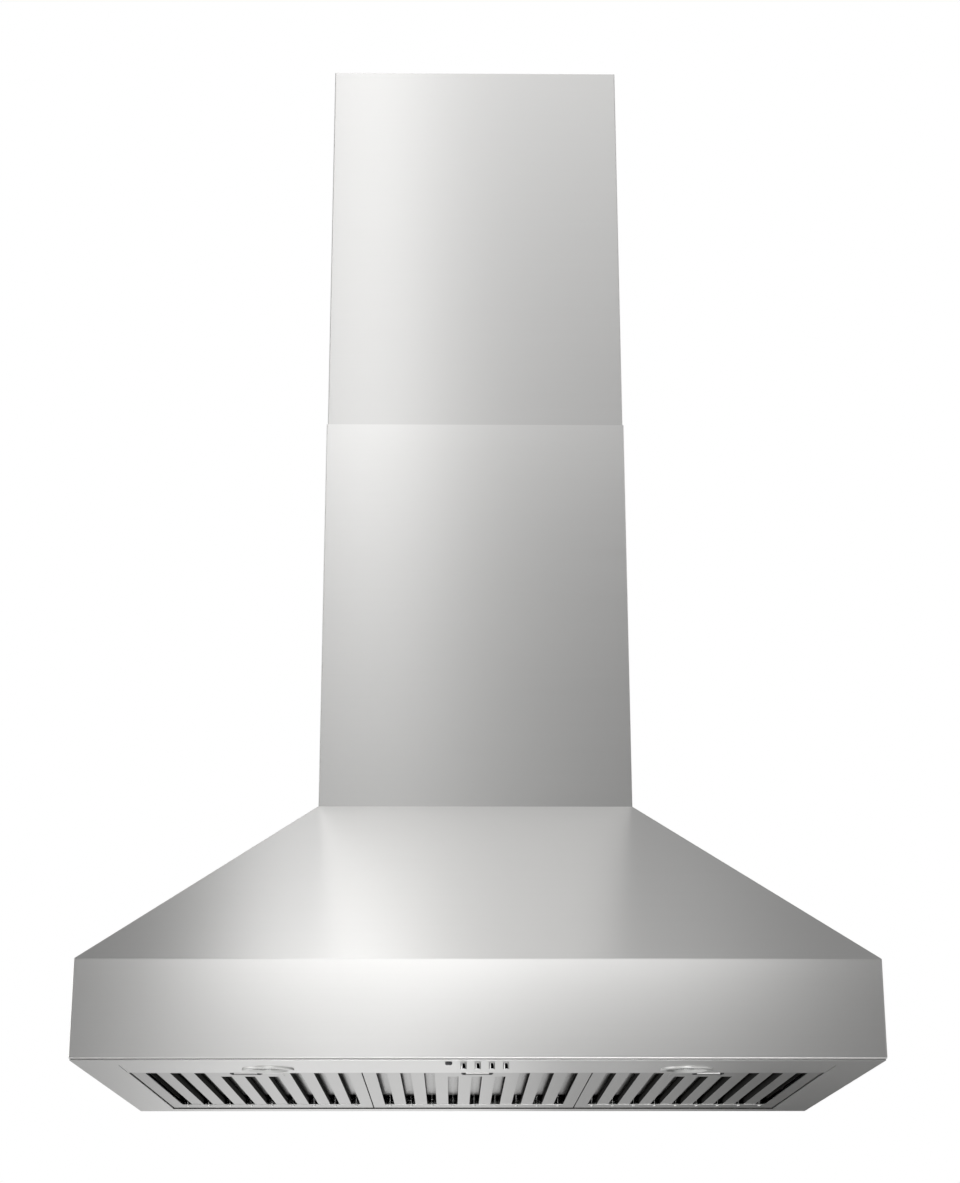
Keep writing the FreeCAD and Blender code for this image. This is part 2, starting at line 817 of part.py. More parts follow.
def around(radius, angle):
    """A point of the blower's side view, angle in degrees from the top towards the front."""
    turn = math.radians(angle)
    return at(0, blower_y - radius * math.sin(turn), blower_z + radius * math.cos(turn))


def scroll_face(inset):
    """The blower's spiral side view with its outlet upward, drawn in by inset."""
    radii = [scroll_start_radius + i * scroll_growth - inset for i in range(4)]
    offset = tongue_offset - inset
    tongue_angle = math.degrees(math.asin(offset / radii[0]))
    points = [around(radii[0], tongue_angle)]
    edges = []
    angle = tongue_angle
    for i in range(3):
        next_angle = 90 * (i + 1)
        middle = around((radii[i] + radii[i + 1]) / 2, (angle + next_angle) / 2)
        points.append(around(radii[i + 1], next_angle))
        edges.append(Part.Arc(points[-2], middle, points[-1]).toShape())
        angle = next_angle
    rear_top = at(0, points[-1].y, canopy_top)
    front_top = at(0, points[0].y, canopy_top)
    edges.append(Part.makeLine(points[-1], rear_top))
    edges.append(Part.makeLine(rear_top, front_top))
    edges.append(Part.makeLine(front_top, points[0]))
    return Part.Face(Part.Wire(edges))


def scroll_slab(inset, x_from, x_to):
    slab = scroll_face(inset).extrude(at(x_to - x_from, 0, 0))
    slab.translate(at(x_from, 0, 0))
    return slab


scroll_half = scroll_width / 2
scroll_side = scroll_half + scroll_sheet


def scroll_wrapper():
    outer = scroll_slab(0, -scroll_half, scroll_half)
    inner = scroll_slab(scroll_sheet, -scroll_half - overrun, scroll_half + overrun)
    chute = inner.copy()
    chute.translate(at(0, 0, overrun))
    mouth = chute.common(block(-scroll_side, scroll_side, front_y, 0, canopy_top - overrun,
                               canopy_top + overrun))
    return outer.cut(inner).cut(mouth)


def scroll_side_plates():
    plates = []
    for side in (-1, 1):
        x_from, x_to = sorted((side * scroll_half, side * scroll_side))
        plate = scroll_slab(0, x_from, x_to)
        hole_start = at(x_from - overrun, blower_y, blower_z)
        plate = plate.cut(rod(inlet_radius, scroll_sheet + 2 * overrun, hole_start, x_axis))
        ends = sorted((side * scroll_half, side * (scroll_side + scroll_flange)))
        flange = block(ends[0], ends[1], blower_y - tongue_offset, blower_y + scroll_rear_radius,
                       canopy_top - scroll_sheet, canopy_top)
        plate = plate.fuse(flange).removeSplitter()
        plates.append(plate.cut(Part.makeCompound(blower_screw_holes())))
    return plates


def blower_screw_places():
    x = scroll_side + scroll_flange / 2
    reach = (scroll_rear_radius + tongue_offset) / 4
    return [(sx * x, collar_y + sy * reach) for sx in (-1, 1) for sy in (-1, 1)]


def blower_screw_holes():
    depth = plate_sheet + scroll_sheet + 2 * overrun
    return [rod(screw_radius, depth, at(x, y, canopy_top - scroll_sheet - overrun), z_axis)
            for x, y in blower_screw_places()]


def blower_screws():
    return [pan_head_screw(at(x, y, plate_top), -z_axis, screw_length) for x, y in blower_screw_places()]


def inlet_rings():
    """Flared rings around the two air inlets."""
    rings = []
    for side in (-1, 1):
        start = at(side * scroll_side, blower_y, blower_z)
        direction = x_axis * side
        flange = tube(inlet_radius + inlet_ring_width, inlet_radius - inlet_ring_sheet, inlet_ring_sheet,
                      start, direction)
        lip = tube(inlet_radius, inlet_radius - inlet_ring_sheet, inlet_ring_height, start, direction)
        rings.append(flange.fuse(lip).removeSplitter())
    return rings


def wheel_blade(index):
    angle = 360 * index / blade_count
    inner = wheel_radius - blade_depth
    blade = block(-wheel_length / 2, wheel_length / 2, -blade_sheet / 2, blade_sheet / 2,
                  -blade_depth / 2, blade_depth / 2)
    blade.rotate(at(0, 0, 0), x_axis, blade_pitch_angle)
    blade.translate(at(0, 0, inner + blade_depth / 2))
    blade.rotate(at(0, 0, 0), x_axis, angle)
    return blade


def impeller():
    inner = wheel_radius - blade_depth
    half = wheel_length / 2
    solids = [tube(wheel_radius, inner, wheel_ring_width, at(-half, 0, 0), x_axis),
              tube(wheel_radius, inner, wheel_ring_width, at(half - wheel_ring_width, 0, 0), x_axis),
              rod(wheel_radius, wheel_disc_sheet, at(-wheel_disc_sheet / 2, 0, 0), x_axis),
              rod(hub_radius, hub_length, at(-hub_length / 2, 0, 0), x_axis)]
    solids += [wheel_blade(i) for i in range(blade_count)]
    wheel = fuse_all(solids)
    bore = rod(shaft_radius, hub_length + 2 * overrun, at(-hub_length / 2 - overrun, 0, 0), x_axis)
    wheel = wheel.cut(bore)
    wheel.translate(at(0, blower_y, blower_z))
    return wheel


motor_end = motor_inset + motor_length


def motor_shaft():
    start = at(-hub_length / 2, blower_y, blower_z)
    return rod(shaft_radius, hub_length / 2 + motor_end - motor_bearing_length, start, x_axis)


def blower_motor():
    start = at(motor_inset, blower_y, blower_z)
    can = rod(motor_radius, motor_length, start, x_axis)
    rims = [edge for edge in can.Edges if edge.Closed and edge.Length > motor_radius]
    can = can.makeFillet(motor_edge_radius, rims)
    boss_start = at(motor_inset - motor_bearing_length, blower_y, blower_z)
    boss = rod(motor_bearing_radius, motor_bearing_length, boss_start, x_axis)
    bore = rod(shaft_radius + shaft_fit, motor_length, boss_start, x_axis)
    return can.fuse(boss).cut(bore).removeSplitter()


def motor_bracket():
    """A band round the motor with arms that reach out to the scroll's side plate."""
    outer = motor_radius + arm_band_wall
    arm_x = scroll_side + inlet_ring_height + arm_sheet
    foot_radius = inlet_radius + inlet_ring_width + arm_foot
    solids = [tube(outer, motor_radius, arm_band_length, at(arm_x - arm_band_length, 0, 0), x_axis)]
    for i in range(arm_count):
        arm = block(arm_x - arm_sheet, arm_x, -arm_width / 2, arm_width / 2, motor_radius + arm_band_wall / 2,
                    foot_radius)
        leg = block(scroll_side, arm_x, -arm_width / 2, arm_width / 2, foot_radius - arm_sheet, foot_radius)
        foot = block(scroll_side, scroll_side + arm_sheet, -arm_width / 2, arm_width / 2,
                     foot_radius - arm_sheet, foot_radius + arm_foot)
        for shape in (arm, leg, foot):
            shape.rotate(at(0, 0, 0), x_axis, 180 + 360 * i / arm_count)
            solids.append(shape)
    bracket = fuse_all(solids)
    bracket.translate(at(0, blower_y, blower_z))
    return bracket


def blower_plate():
    half = neck_half - canopy_sheet
    front = neck_front_y + canopy_sheet
    rear = -back_sheet
    plate = block(-half, half, front, rear, canopy_top, canopy_top + plate_flange)
    pocket = block(-half + plate_sheet, half - plate_sheet, front + plate_sheet, rear - plate_sheet,
                   plate_top, canopy_top + plate_flange + overrun)
    plate = plate.cut(pocket)
    duct_hole = rod(duct_radius - collar_sheet, plate_sheet + 2 * overrun,
                    at(0, collar_y, canopy_top - overrun), z_axis)
    plate = plate.cut(duct_hole).cut(Part.makeCompound(blower_screw_holes()))
    return plate.cut(Part.makeCompound(neck_screw_holes()))


# Duct collar and backdraft damper

def duct_collar():
    start = at(0, collar_y, plate_top)
    wall = tube(duct_radius, duct_radius - collar_sheet, collar_height, start, z_axis)
    flange = tube(duct_radius + collar_flange, duct_radius - collar_sheet, collar_sheet, start, z_axis)
    return wall.fuse(flange).cut(Part.makeCompound(damper_pins())).removeSplitter()


def damper_pin_y(way):
    return collar_y + way * damper_pin_spacing / 2


damper_z = plate_top + damper_height


def damper_pins():
    pins = []
    for way in (-1, 1):
        half = math.sqrt(duct_radius ** 2 - (damper_pin_spacing / 2) ** 2)
        pins.append(rod(damper_pin_radius, 2 * half, at(-half, damper_pin_y(way), damper_z), x_axis))
    return pins


def damper_flap(way):
    """A half disc that swings up about its pin. way is -1 for the front flap and 1 for the rear."""
    radius = duct_radius - collar_sheet - damper_gap
    barrel_radius = damper_pin_radius + damper_fit + damper_barrel_wall
    pin_y = damper_pin_y(way)
    disc = rod(radius, damper_sheet, at(0, collar_y, damper_z - damper_sheet / 2), z_axis)
    seam_y = pin_y + way * (barrel_radius - damper_barrel_wall / 2)
    ends = sorted((seam_y, collar_y + 2 * way * radius))
    half_disc = disc.common(block(-duct_radius, duct_radius, ends[0], ends[1],
                                  damper_z - damper_sheet, damper_z + damper_sheet))
    barrel_half = radius - damper_pin_spacing / 2
    barrel = rod(barrel_radius, 2 * barrel_half, at(-barrel_half, pin_y, damper_z), x_axis)
    bore = rod(damper_pin_radius + damper_fit, 2 * duct_radius, at(-duct_radius, pin_y, damper_z), x_axis)
    return half_disc.fuse(barrel).cut(bore).removeSplitter()


# Junction box and electrical pieces

junction_right = -scroll_side - scroll_flange / 2 - screw_head_radius - junction_from_screws
junction_left = canopy_sheet + plate_sheet + junction_wall_gap - neck_half
junction_front = collar_y - junction_length / 2
junction_rear = collar_y + junction_length / 2
junction_top = plate_top + junction_height
gland_x = (junction_left + junction_right) / 2


def junction_box():
    outer = block(junction_left, junction_right, junction_front, junction_rear, plate_top, junction_top)
    room = block(junction_left + junction_sheet, junction_right - junction_sheet,
                 junction_front + junction_sheet, junction_rear - junction_sheet,
                 plate_top + junction_sheet, junction_top + overrun)
    return outer.cut(room)


def junction_lid():
    """The box's lid: a flat top whose long edges turn down over the box."""
    left = junction_left - junction_sheet
    right = junction_right + junction_sheet
    top = block(left, right, junction_front, junction_rear, junction_top, junction_top + junction_sheet)
    lips = [top]
    for x in (left, junction_right):
        lips.append(block(x, x + junction_sheet, junction_front, junction_rear,
                          junction_top - junction_lid_lip, junction_top))
    hole = rod(gland_thread_radius, junction_sheet + 2 * overrun,
               at(gland_x, collar_y, junction_top - overrun), z_axis)
    return fuse_all(lips).cut(hole)


def hexagon(radius, height, start):
    corners = []
    for i in range(7):
        turn = math.radians(60 * i)
        corners.append(start + at(radius * math.cos(turn), radius * math.sin(turn), 0))
    return Part.Face(Part.makePolygon(corners)).extrude(z_axis * height)


def cable_gland():
    base = junction_top + junction_sheet
    thread_start = at(gland_x, collar_y, junction_top - gland_nut_height)
    thread = rod(gland_thread_radius, gland_nut_height + junction_sheet, thread_start, z_axis)
    nut = hexagon(gland_nut_radius, gland_nut_height, at(gland_x, collar_y, base))
    dome = Part.makeCone(gland_thread_radius, gland_dome_radius, gland_dome_height,
                         at(gland_x, collar_y, base + gland_nut_height), z_axis)
    height = 2 * gland_nut_height + gland_dome_height + junction_sheet + 2 * overrun
    bore = rod(gland_bore_radius, height, thread_start - z_axis * overrun, z_axis)
    return fuse_all([thread, nut, dome]).cut(bore)


def terminal_block():
    floor = plate_top + junction_sheet
    x_from = gland_x - terminal_width / 2
    y_from = junction_front + junction_sheet + terminal_width / 2
    body = block(x_from, x_from + terminal_width, y_from, y_from + terminal_length,
                 floor, floor + terminal_height)
    pitch = terminal_length / terminal_poles
    for i in range(terminal_poles):
        y = y_from + (i + 1 / 2) * pitch
        start = at(gland_x, y, floor + terminal_height - terminal_hole_depth)
        body = body.cut(rod(terminal_hole_radius, terminal_hole_depth + overrun, start, z_axis))
    return body


def motor_capacitor():
    start = at(gland_x, junction_rear - junction_sheet - capacitor_length - terminal_width / 2,
               plate_top + junction_sheet + capacitor_radius)
    can = rod(capacitor_radius, capacitor_length, start, y_axis)
    rims = [edge for edge in can.Edges if edge.Closed and edge.Length > capacitor_radius]
    return can.makeFillet(capacitor_edge_radius, rims)


def lamp_driver():
    rear = strip_rear_y - driver_from_rear
    left = -lamp_spacing / 4 - driver_length / 2
    body = block(left, left + driver_length, rear - driver_width, rear,
                 pan_sheet, pan_sheet + driver_height)
    upper = [edge for edge in body.Edges if edge.BoundBox.ZMin > pan_sheet + driver_height / 2]
    return body.makeFillet(driver_edge_radius, upper)


def build():
    os.makedirs("parts", exist_ok=True)
    export("canopy_shell", [canopy_shell()])
    export("canopy_back_panel", [canopy_back_panel()])
    export("underside_pan", [underside_pan()])
    export("rear_ledge", [rear_ledge()])
    export("lower_duct_cover", [lower_duct_cover()])
    export("upper_duct_cover", [upper_duct_cover()])
    export("ceiling_bracket", [ceiling_bracket()])
    export("canopy_screws", cover_screws() + blower_screws())
    export("bracket_screws", bracket_screws())
    for name, x in zip(("left", "middle", "right"), filter_places()):
        export("filter_" + name + "_frame", [filter_frame(x)])
        export("filter_" + name + "_lower_baffles", lower_baffles(x))
        export("filter_" + name + "_upper_baffles", upper_baffles(x))
        export("filter_" + name + "_rivets", filter_rivets(x))
        export("filter_" + name + "_handle", [ring_handle(x)])
    for name, side in (("left", -1), ("right", 1)):
        x = side * lamp_spacing / 2
        export("lamp_" + name + "_bezel", [lamp_bezel(x)])
        export("lamp_" + name + "_lens", [lamp_lens(x)])
        export("lamp_" + name + "_body", [lamp_body(x)])
    export("lamp_clips", lamp_clips())
    for number, x in enumerate(button_places(), 1):
        export("button_" + str(number), [push_button(x)])
        export("button_" + str(number) + "_spring", [button_spring(x)])
    export("switch_housing", [switch_housing()])
    export("indicator_light", [indicator_light()])
    export("blower_plate", [blower_plate()])
    export("blower_wrapper", [scroll_wrapper()])
    export("blower_side_plates", scroll_side_plates())
    export("inlet_rings", inlet_rings())
    export("impeller", [impeller()])
    export("motor_shaft", [motor_shaft()])
    export("blower_motor", [blower_motor()])
    export("motor_bracket", [motor_bracket()])
    export("duct_collar", [duct_collar()])
    export("damper_pins", damper_pins())
    export("damper_flap_front", [damper_flap(-1)])
    export("damper_flap_rear", [damper_flap(1)])
    export("junction_box", [junction_box()])
    export("junction_lid", [junction_lid()])
    export("cable_gland", [cable_gland()])
    export("terminal_block", [terminal_block()])
    export("motor_capacitor", [motor_capacitor()])
    export("lamp_driver", [lamp_driver()])


build()
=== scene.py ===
import json
import math

import bpy
from mathutils import Matrix, Vector


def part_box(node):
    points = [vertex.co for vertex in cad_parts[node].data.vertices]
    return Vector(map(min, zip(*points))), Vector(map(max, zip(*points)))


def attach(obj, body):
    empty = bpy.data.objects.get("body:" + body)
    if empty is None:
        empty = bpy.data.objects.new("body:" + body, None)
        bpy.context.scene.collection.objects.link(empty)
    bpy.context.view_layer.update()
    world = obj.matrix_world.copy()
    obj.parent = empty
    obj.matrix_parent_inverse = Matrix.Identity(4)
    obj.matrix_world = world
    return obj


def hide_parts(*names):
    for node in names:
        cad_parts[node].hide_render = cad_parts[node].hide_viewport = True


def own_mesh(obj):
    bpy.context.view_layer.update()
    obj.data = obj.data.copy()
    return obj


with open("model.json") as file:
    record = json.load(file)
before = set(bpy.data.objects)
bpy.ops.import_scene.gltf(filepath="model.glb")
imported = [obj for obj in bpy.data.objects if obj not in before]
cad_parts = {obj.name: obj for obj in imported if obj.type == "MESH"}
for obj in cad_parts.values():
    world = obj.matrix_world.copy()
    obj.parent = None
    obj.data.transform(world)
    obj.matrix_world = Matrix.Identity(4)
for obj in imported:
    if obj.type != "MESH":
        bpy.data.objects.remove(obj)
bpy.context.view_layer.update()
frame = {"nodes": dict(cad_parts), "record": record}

# Lengths are in metres and angles in degrees.

# Camera, with its focal length as a share of the picture's width
camera_place = Vector((-0.0302, -3.1492, -0.2863))
camera_yaw = 0.732
camera_pitch = 18.231
camera_roll = -0.085
focal_share = 2.3377
sensor_width = 36.0
camera_clip = 0.05

# World and floor
white = (1, 1, 1, 1)
black = (0, 0, 0, 1)
room_light = (0.28, 0.28, 0.28, 1)
floor_level = -1.6
floor_size = 80.0
floor_colour = (0.78, 0.78, 0.77, 1)
floor_shine = 0.6
floor_waves = 6
floor_detail = 3
floor_roughness = (0.66, 0.74)

# A vault of board about the hood. Over the change range, which is counted from its middle along x,
# its light goes from the first value to the second, and the waves in it grow to their full depth.
vault_reach = 3.3
vault_steps = 48
vault_light = (0.25, 0.95)
vault_change = (1.2, 2.0)
vault_wave = 1.3
vault_wave_depth = 0.35

# Soft boxes on a round rig about the hood. Each is its left and right edge, its low and high turn,
# and its brightness. A turn of 0 degrees is level in front, 90 overhead and 180 level behind.
rig_middle = Vector((0, -0.3, 0.3))
rig_reach = 3.0
soft_boxes = {
    "front_low_box": (-0.62, 0.08, -17, -4, 6.2),
    "right_low_box": (0.05, 0.7, -36, -14, 5.3),
    "left_box": (-0.9, -0.42, 4, 16, 2.25),
    "low_strip": (-0.3, -0.12, 6, 20, 2.6),
    "high_strip": (-0.42, -0.14, 20, 75, 2.08),
    "overhead_strip": (-0.6, -0.14, 75, 100, 3.9),
    "overhead_fill": (-0.14, 0.75, 34, 100, 1.42),
    "rear_box": (-1.0, 1.0, 160, 190, 1.2),
}

# A board close behind the hood that its underside reflects. Each pair of shares is a place along the
# board's width and how much of the light it has there.
wall_board_y = 0.4
wall_board_half = 1.6
wall_board_heights = (-1.4, 0.05)
wall_board_light = 1.06
wall_board_shares = ((0.28, 0.28), (0.41, 1), (0.49, 1), (0.56, 0.42), (0.66, 0.03))

# A tall box far to the left, and a band of black cloth in front and on the right. Angles are counted
# from the front towards the right.
side_box_reach = 2.6
side_box_angle = -72
side_box_size = (2.4, 1.6)
side_box_height = 0.1
side_box_brightness = 1.6
cloth_reach = 3.1
cloth_angles = (-35, 165)
cloth_heights = (-0.02, 0.8)
cloth_steps = 40

# Most of a noise pattern's values lie in this range
noise_range = (0.3, 0.7)

# Brushed sheet. Grain is in waves for each metre along and across it.
sheet_colour = (0.6, 0.597, 0.59, 1)
filter_colour = (0.44, 0.438, 0.432, 1)
sheet_roughness = 0.33
rough_change = 0.01
cloud_share = 0.03
grain_along = 3.0
grain_across = 700.0
grain_detail = 3
grain_stretch = 0.8
grain_turn = 0.25
flat_grain_nudge = (0.01, 0, 0)
upright_grain = (grain_along, grain_along, grain_across)
flat_grain = (grain_along, grain_across, grain_along)

# The upright sheets are slightly bowed, by this many degrees at their upper and lower edges. One above
# zero has its middle standing out, and one below zero has its middle standing in. A face is upright
# while the z of its normal is below the limit.
skirt_lean = -4.5
lower_cover_lean = 0.5
upper_cover_lean = -1.0
upright_limit = 0.3

# The skirt is the canopy's upright foot
skirt_height = 0.1114

# Painted reflection on the lower cover's sheet: how bright its colour is at its lower and upper edges
lower_cover_painted_shares = (0.7, 1.15)

# Painted shade in narrow gaps between sheets: how far they look for walls, how open they are when black
# and when lit, and the dark colour and roughness painted in them as shade
gap_reach = 0.03
gap_samples = 8
gap_range = (0.12, 0.35)
gap_shade_colour = (0.012, 0.011, 0.01, 1)
gap_shade_roughness = 0.8

# Painted shade on upright faces: how much of their light they keep, and the z of the normal of an upright
# and a flat face
canopy_leg_share = 1
ledge_leg_share = 0.03
frame_leg_share = 1
baffle_leg_share = 0.1
slope_range = (0.3, 0.7)

# Zinc coat, with its crystals for each metre
zinc_crystals = 70
zinc_dark = (0.44, 0.46, 0.48, 1)
zinc_bright = (0.6, 0.62, 0.64, 1)
zinc_roughness = (0.36, 0.5)

# Polished metals. Each is its colour, its roughness and the depth of its relief.
polished_metals = {
    "bright_steel": ((0.7, 0.7, 0.69, 1), 0.25, 0.00002),
    "chrome": ((0.8, 0.8, 0.8, 1), 0.05, 0.000005),
    # shaded_button_chrome is chrome made darker, painted shade on the buttons
    "shaded_button_chrome": ((0.5, 0.5, 0.5, 1), 0.05, 0.000005),
    "satin_chrome": ((0.6, 0.6, 0.59, 1), 0.4, 0.00001),
    # shaded_lamp_bowl is polished metal made dark, painted shade inside the lamps
    "shaded_lamp_bowl": ((0.22, 0.22, 0.22, 1), 0.3, 0.00001),
    # dark_nickel is near black, painted shade for the dark reflection along the filters' wire handles
    "dark_nickel": ((0.05, 0.05, 0.052, 1), 0.35, 0.00001),
    "spring_steel": ((0.5, 0.5, 0.5, 1), 0.3, 0.00001),
    "damper_aluminium": ((0.72, 0.73, 0.75, 1), 0.35, 0.00002),
}
polish_waves = 90
polish_detail = 6
polish_shares = (0.7, 1.4)

# Moulded plastics. Each is its colour and its roughness.
moulded_plastics = {
    "black_plastic": ((0.03, 0.03, 0.03, 1), 0.5),
    "white_plastic": ((0.78, 0.78, 0.76, 1), 0.45),
    "indicator_plastic": ((0.03, 0.03, 0.035, 1), 0.12),
}
plastic_waves = 1400
plastic_detail = 2
plastic_change = 0.06
plastic_relief = 0.00004

# Enamel on the motor
enamel_colour = (0.045, 0.045, 0.05, 1)
enamel_roughness = (0.34, 0.46)
enamel_waves = 420
enamel_detail = 2
enamel_relief = 0.00012
enamel_coat = 0.3

# Cast aluminium
cast_colour = (0.58, 0.58, 0.6, 1)
cast_roughness = (0.42, 0.62)
cast_waves = 900
cast_detail = 4
cast_relief = 0.00015

# Glass of the lamps
glass_colour = (0.96, 0.98, 0.99, 1)
glass_roughness = (0.04, 0.1)
glass_waves = 160
glass_detail = 4
glass_index = 1.5

# Nodes with a finish of their own
own_finishes = {
    "lower_duct_cover": "lower_duct_cover",
    "upper_duct_cover": "upper_duct_cover",
    "underside_pan": "flat_stainless",
    "rear_ledge": "ledge_stainless",
    "lamp_left_bezel": "satin_chrome",
    "lamp_right_bezel": "satin_chrome",
    # The lamp bodies take a dark polished metal, painted shade inside the lamps
    "lamp_left_body": "shaded_lamp_bowl",
    "lamp_right_body": "shaded_lamp_bowl",
}

# The number of buttons
button_count = 4

# Domed heads on the filters' rivets
filter_sides = ("left", "middle", "right")
dome_height = 0.0013
dome_sides = 24
dome_rings = 5


def frame_box(node):
    """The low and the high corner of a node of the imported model."""
    low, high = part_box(node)
    return Vector(low), Vector(high)


# Shader nodes

def add_node(tree, kind, **settings):
    node = tree.nodes.new(kind)
    for name, value in settings.items():
        setattr(node, name, value)
    return node


def new_material(name, colour, metallic=0):
    material = bpy.data.materials.new(name)
    material.use_nodes = True
    shader = material.node_tree.nodes["Principled BSDF"]
    shader.inputs["Base Color"].default_value = colour
    shader.inputs["Metallic"].default_value = metallic
    return material, material.node_tree, shader


def calculate(tree, operation, *values):
    """Arithmetic on values that are plain numbers or come out of other nodes."""
    node = add_node(tree, "ShaderNodeMath", operation=operation)
    for socket, value in zip(node.inputs, values):
        if isinstance(value, bpy.types.NodeSocket):
            tree.links.new(value, socket)
        else:
            socket.default_value = value
    return node.outputs["Value"]


def own_place(tree):
    """A point's place in its own piece."""
    return add_node(tree, "ShaderNodeTexCoord").outputs["Object"]


def along(tree, axis, vector):
    """One of a vector's three values."""
    apart = add_node(tree, "ShaderNodeSeparateXYZ")
    tree.links.new(vector, apart.inputs["Vector"])
    return apart.outputs[axis]


def pattern(tree, waves, detail):
    """Noise from 0 to 1 over the piece, with waves for each metre along x, y and z."""
    stretch = add_node(tree, "ShaderNodeMapping")
    stretch.inputs["Scale"].default_value = waves
    noise = add_node(tree, "ShaderNodeTexNoise")
    noise.inputs["Scale"].default_value = 1
    noise.inputs["Detail"].default_value = detail
    tree.links.new(own_place(tree), stretch.inputs["Vector"])
    tree.links.new(stretch.outputs["Vector"], noise.inputs["Vector"])
    return noise.outputs["Fac"]


def spread(tree, source, to_range, from_range=noise_range):
    """Turns values in from_range into values in to_range, and keeps them there."""
    change = add_node(tree, "ShaderNodeMapRange")
    change.inputs["From Min"].default_value = from_range[0]
    change.inputs["From Max"].default_value = from_range[1]
    change.inputs["To Min"].default_value = to_range[0]
    change.inputs["To Max"].default_value = to_range[1]
    tree.links.new(source, change.inputs["Value"])
    return change.outputs["Result"]


def tint(tree, source, dark, bright):
    """Mixes two colours by a 0 to 1 pattern."""
    mix = add_node(tree, "ShaderNodeMix", data_type="RGBA")
    mix.inputs["A"].default_value = dark
    mix.inputs["B"].default_value = bright
    tree.links.new(source, mix.inputs["Factor"])
    return mix.outputs["Result"]


def bump(tree, shader, source, depth):
    """Raises the surface by a 0 to 1 pattern."""
    relief = add_node(tree, "ShaderNodeBump")
    relief.inputs["Strength"].default_value = 1
    relief.inputs["Distance"].default_value = depth
    tree.links.new(source, relief.inputs["Height"])
    tree.links.new(relief.outputs["Normal"], shader.inputs["Normal"])


def flatness(tree, normal):
    """1 for a normal that points straight up or down, and 0 for a level one."""
    return calculate(tree, "ABSOLUTE", along(tree, "Z", normal))


def crowned_normal(tree, levels, lean):
    """The surface's normal, leaning down at the low level and up at the high one on upright faces."""
    surface = add_node(tree, "ShaderNodeNewGeometry")
    most = math.tan(math.radians(lean))
    rise = spread(tree, along(tree, "Z", own_place(tree)), (-most, most), levels)
    upright = calculate(tree, "LESS_THAN", flatness(tree, surface.outputs["True Normal"]), upright_limit)
    tilt = add_node(tree, "ShaderNodeCombineXYZ")
    whole = add_node(tree, "ShaderNodeVectorMath", operation="ADD")
    unit = add_node(tree, "ShaderNodeVectorMath", operation="NORMALIZE")
    tree.links.new(calculate(tree, "MULTIPLY", rise, upright), tilt.inputs["Z"])
    tree.links.new(surface.outputs["Normal"], whole.inputs[0])
    tree.links.new(tilt.outputs["Vector"], whole.inputs[1])
    tree.links.new(whole.outputs["Vector"], unit.inputs[0])
    return unit.outputs["Vector"]


def grain_direction(tree):
    """Level on every upright face, and along x on flat ones."""
    surface = add_node(tree, "ShaderNodeNewGeometry")
    level = add_node(tree, "ShaderNodeVectorMath", operation="CROSS_PRODUCT")
    level.inputs[0].default_value = (0, 0, 1)
    nudge = add_node(tree, "ShaderNodeVectorMath", operation="ADD")
    nudge.inputs[1].default_value = flat_grain_nudge
    tree.links.new(surface.outputs["True Normal"], level.inputs[1])
    tree.links.new(level.outputs["Vector"], nudge.inputs[0])
    return nudge.outputs["Vector"]


# Materials

def gap_light(tree, leg_share):
    """Painted shade: how much of its light a sheet keeps, none deep in a gap, and leg_share of it on
    upright faces.
    """
    openness = add_node(tree, "ShaderNodeAmbientOcclusion", samples=gap_samples)
    openness.inputs["Distance"].default_value = gap_reach
    surface = add_node(tree, "ShaderNodeNewGeometry")
    at_rest = add_node(tree, "ShaderNodeVectorTransform", vector_type="NORMAL",
                       convert_from="WORLD", convert_to="OBJECT")
    tree.links.new(surface.outputs["True Normal"], at_rest.inputs["Vector"])
    in_gap = spread(tree, openness.outputs["AO"], (0, 1), gap_range)
    on_face = spread(tree, flatness(tree, at_rest.outputs["Vector"]), (leg_share, 1), slope_range)
    return calculate(tree, "MULTIPLY", in_gap, on_face)


def painted_fade(tree, colour, levels, shares):
    """A colour times a share that changes from the low level to the high one, which paints reflection
    into it.
    """
    scale = add_node(tree, "ShaderNodeVectorMath", operation="SCALE")
    tree.links.new(colour, scale.inputs["Vector"])
    tree.links.new(spread(tree, along(tree, "Z", own_place(tree)), shares, levels), scale.inputs["Scale"])
    return scale.outputs["Vector"]


